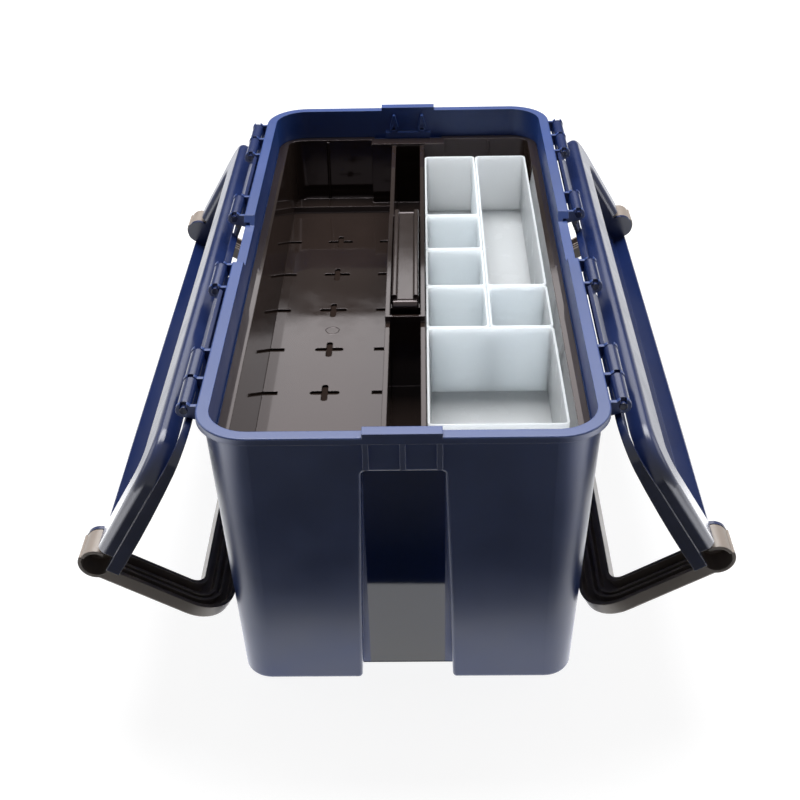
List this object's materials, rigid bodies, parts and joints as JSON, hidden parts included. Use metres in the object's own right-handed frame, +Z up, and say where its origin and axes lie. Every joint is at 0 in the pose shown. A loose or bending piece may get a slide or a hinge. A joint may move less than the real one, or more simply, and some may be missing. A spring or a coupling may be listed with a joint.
{
  "type": "tool box",
  "caption": "Plastic tool box with hinged lids that open to both sides, a carrying handle on each lid, a lift-out tray with a grip, and loose small-parts bins.",
  "frame": {"origin": "middle of the box's footprint on the floor", "axes": "+Z up, +Y along the box's length, +X to the right seen from the front end"},
  "size_m": [0.3686, 0.47, 0.1865],
  "materials": {
    "navy_plastic": "fine moulded texture, slight sheen",
    "blue_plastic": "smooth moulded polypropylene, slight sheen",
    "handle_plastic": "brown-grey moulded plastic, smooth",
    "tray_plastic": "near-black glossy polystyrene",
    "clear_plastic": "translucent whitish polypropylene"
  },
  "bodies": {
    "case": {"case": "navy_plastic"},
    "lid_left": {"lid_left": "blue_plastic"},
    "lid_right": {"lid_right": "blue_plastic"},
    "handle_left": {"handle_left": "handle_plastic"},
    "handle_right": {"handle_right": "handle_plastic"},
    "tray": {"tray": "tray_plastic"},
    "tray_handle": {"tray_handle": "tray_plastic"},
    "bin_wide": {"bin_wide": "clear_plastic"},
    "bin_inner_1": {"bin_inner_1": "clear_plastic"},
    "bin_outer_small": {"bin_outer_small": "clear_plastic"},
    "bin_inner_2": {"bin_inner_2": "clear_plastic"},
    "bin_inner_3": {"bin_inner_3": "clear_plastic"},
    "bin_inner_long": {"bin_inner_long": "clear_plastic"},
    "bin_outer_long": {"bin_outer_long": "clear_plastic"}
  },
  "joints": [
    {"name": "lid_left_hinge", "type": "hinge", "parent": "case", "child": "lid_left", "pos_m": [-0.118, 0, 0.181], "axis": [0, -1, 0], "range_deg": [-239.5, 0]},
    {"name": "lid_right_hinge", "type": "hinge", "parent": "case", "child": "lid_right", "pos_m": [0.118, 0, 0.181], "axis": [0, 1, 0], "range_deg": [-239.5, 0]},
    {"name": "handle_left_hinge", "type": "hinge", "parent": "lid_left", "child": "handle_left", "pos_m": [-0.1743, 0, 0.09172], "axis": [0, 1, 0], "range_deg": [0, 90]},
    {"name": "handle_right_hinge", "type": "hinge", "parent": "lid_right", "child": "handle_right", "pos_m": [0.1743, 0, 0.09172], "axis": [0, -1, 0], "range_deg": [0, 90]},
    {"name": "tray_lift", "type": "slide", "parent": "case", "child": "tray", "axis": [0, 0, 1], "range_m": [0, 0.12]},
    {"name": "tray_handle_lift", "type": "slide", "parent": "tray", "child": "tray_handle", "axis": [0, 0, 1], "range_m": [0, 0.03]},
    {"name": "bin_wide_lift", "type": "slide", "parent": "tray", "child": "bin_wide", "axis": [0, 0, 1], "range_m": [0, 0.06]},
    {"name": "bin_inner_1_lift", "type": "slide", "parent": "tray", "child": "bin_inner_1", "axis": [0, 0, 1], "range_m": [0, 0.06]},
    {"name": "bin_outer_small_lift", "type": "slide", "parent": "tray", "child": "bin_outer_small", "axis": [0, 0, 1], "range_m": [0, 0.06]},
    {"name": "bin_inner_2_lift", "type": "slide", "parent": "tray", "child": "bin_inner_2", "axis": [0, 0, 1], "range_m": [0, 0.06]},
    {"name": "bin_inner_3_lift", "type": "slide", "parent": "tray", "child": "bin_inner_3", "axis": [0, 0, 1], "range_m": [0, 0.06]},
    {"name": "bin_inner_long_lift", "type": "slide", "parent": "tray", "child": "bin_inner_long", "axis": [0, 0, 1], "range_m": [0, 0.06]},
    {"name": "bin_outer_long_lift", "type": "slide", "parent": "tray", "child": "bin_outer_long", "axis": [0, 0, 1], "range_m": [0, 0.06]}
  ]
}
